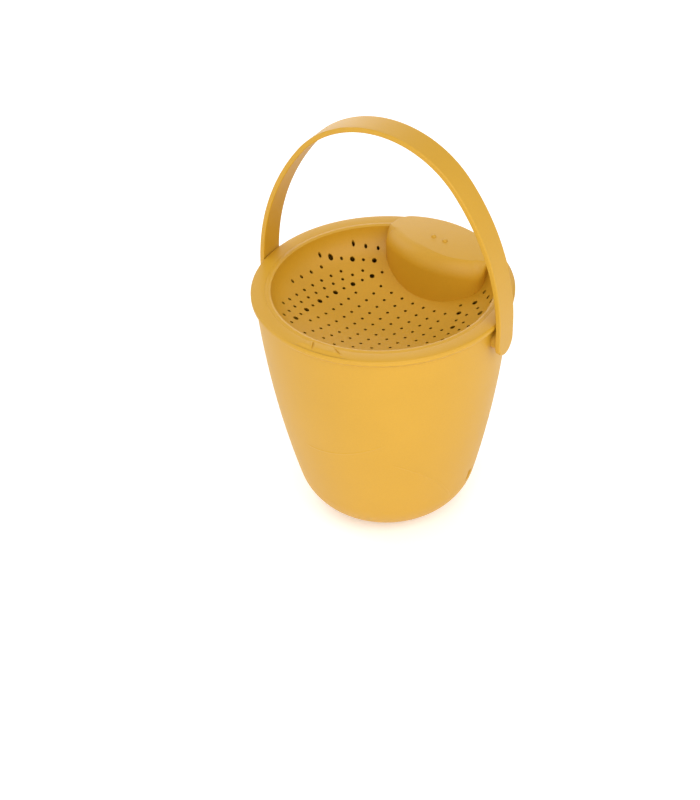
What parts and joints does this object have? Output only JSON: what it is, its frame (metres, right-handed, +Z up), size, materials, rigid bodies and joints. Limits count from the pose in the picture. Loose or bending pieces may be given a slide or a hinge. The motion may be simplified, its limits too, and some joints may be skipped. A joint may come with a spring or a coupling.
{
  "type": "sand bucket",
  "caption": "Round-bottomed toddler sand bucket with a wide flange, a lift-out sieve bowl with a raised grip, and a strap bail handle.",
  "frame": {"origin": "middle of the flat base that the bucket stands on", "axes": "+Z up, X along the handle's pivot axis, the fluke relief on the flange towards -Y"},
  "size_m": [0.1988, 0.19, 0.3155],
  "materials": {
    "bucket_plastic": "fine matte grain",
    "sieve_plastic": "fine matte grain",
    "handle_plastic": "fine matte grain"
  },
  "bodies": {
    "bucket": {"bucket_body": "bucket_plastic"},
    "sieve": {"sieve": "sieve_plastic"},
    "handle": {"handle": "handle_plastic"}
  },
  "joints": [
    {"name": "handle_swing", "type": "hinge", "parent": "bucket", "child": "handle", "pos_m": [0, 0, 0.173], "axis": [1, 0, 0], "range_deg": [-132, 136]},
    {"name": "sieve_lift", "type": "slide", "parent": "bucket", "child": "sieve", "axis": [0, 0, 1], "range_m": [0, 0.045]}
  ]
}
